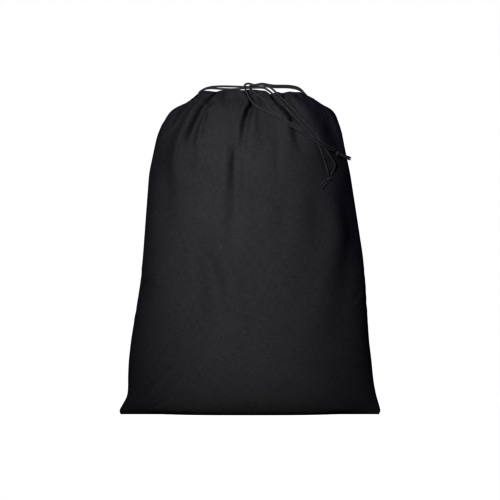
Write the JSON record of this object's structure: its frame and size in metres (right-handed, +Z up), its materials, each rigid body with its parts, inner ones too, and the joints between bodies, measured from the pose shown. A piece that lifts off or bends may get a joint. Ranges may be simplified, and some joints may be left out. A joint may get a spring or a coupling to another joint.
{
  "type": "drawstring laundry bag",
  "caption": "Filled-out cloth laundry bag with a sewn channel round its mouth, two opposed drawcords tied in a bow, and knotted cord ends hanging down the front.",
  "frame": {"origin": "on the floor, under the middle of the bag, at the middle of the bounding box's base", "axes": "+Z up through the mouth, -Y out of the front panel, over which the cord ends hang, +X along the bottom seam to the side of the cord ends"},
  "size_m": [0.491, 0.22, 0.623],
  "materials": {
    "cotton": "matte black woven cotton",
    "thread": "black spun thread",
    "cord": "matte black braided cotton cord"
  },
  "bodies": {
    "root": {"front_panel": "cotton", "front_channel": "cotton", "back_panel": "cotton", "back_channel": "cotton", "left_seam_allowance": "cotton", "right_seam_allowance": "cotton", "bottom_seam_allowance": "cotton", "front_channel_stitches": "thread", "back_channel_stitches": "thread", "left_seam_overlock": "thread", "right_seam_overlock": "thread", "bottom_seam_overlock": "thread", "left_slit_bartack": "thread", "right_slit_bartack": "thread", "left_cord_in_channel": "cord", "right_cord_in_channel": "cord", "left_cord_back_stretch": "cord", "left_cord_front_stretch": "cord", "right_cord_back_stretch": "cord", "right_cord_front_stretch": "cord", "bow_knot": "cord", "right_cord_lower_end": "cord", "right_cord_upper_end": "cord", "left_cord_lower_end": "cord", "left_cord_upper_end": "cord", "right_cord_lower_tail": "cord", "right_cord_upper_tail": "cord", "left_cord_upper_tail": "cord", "left_cord_lower_tail": "cord", "left_cord_end_knot": "cord", "right_cord_end_knot": "cord"}
  },
  "joints": []
}
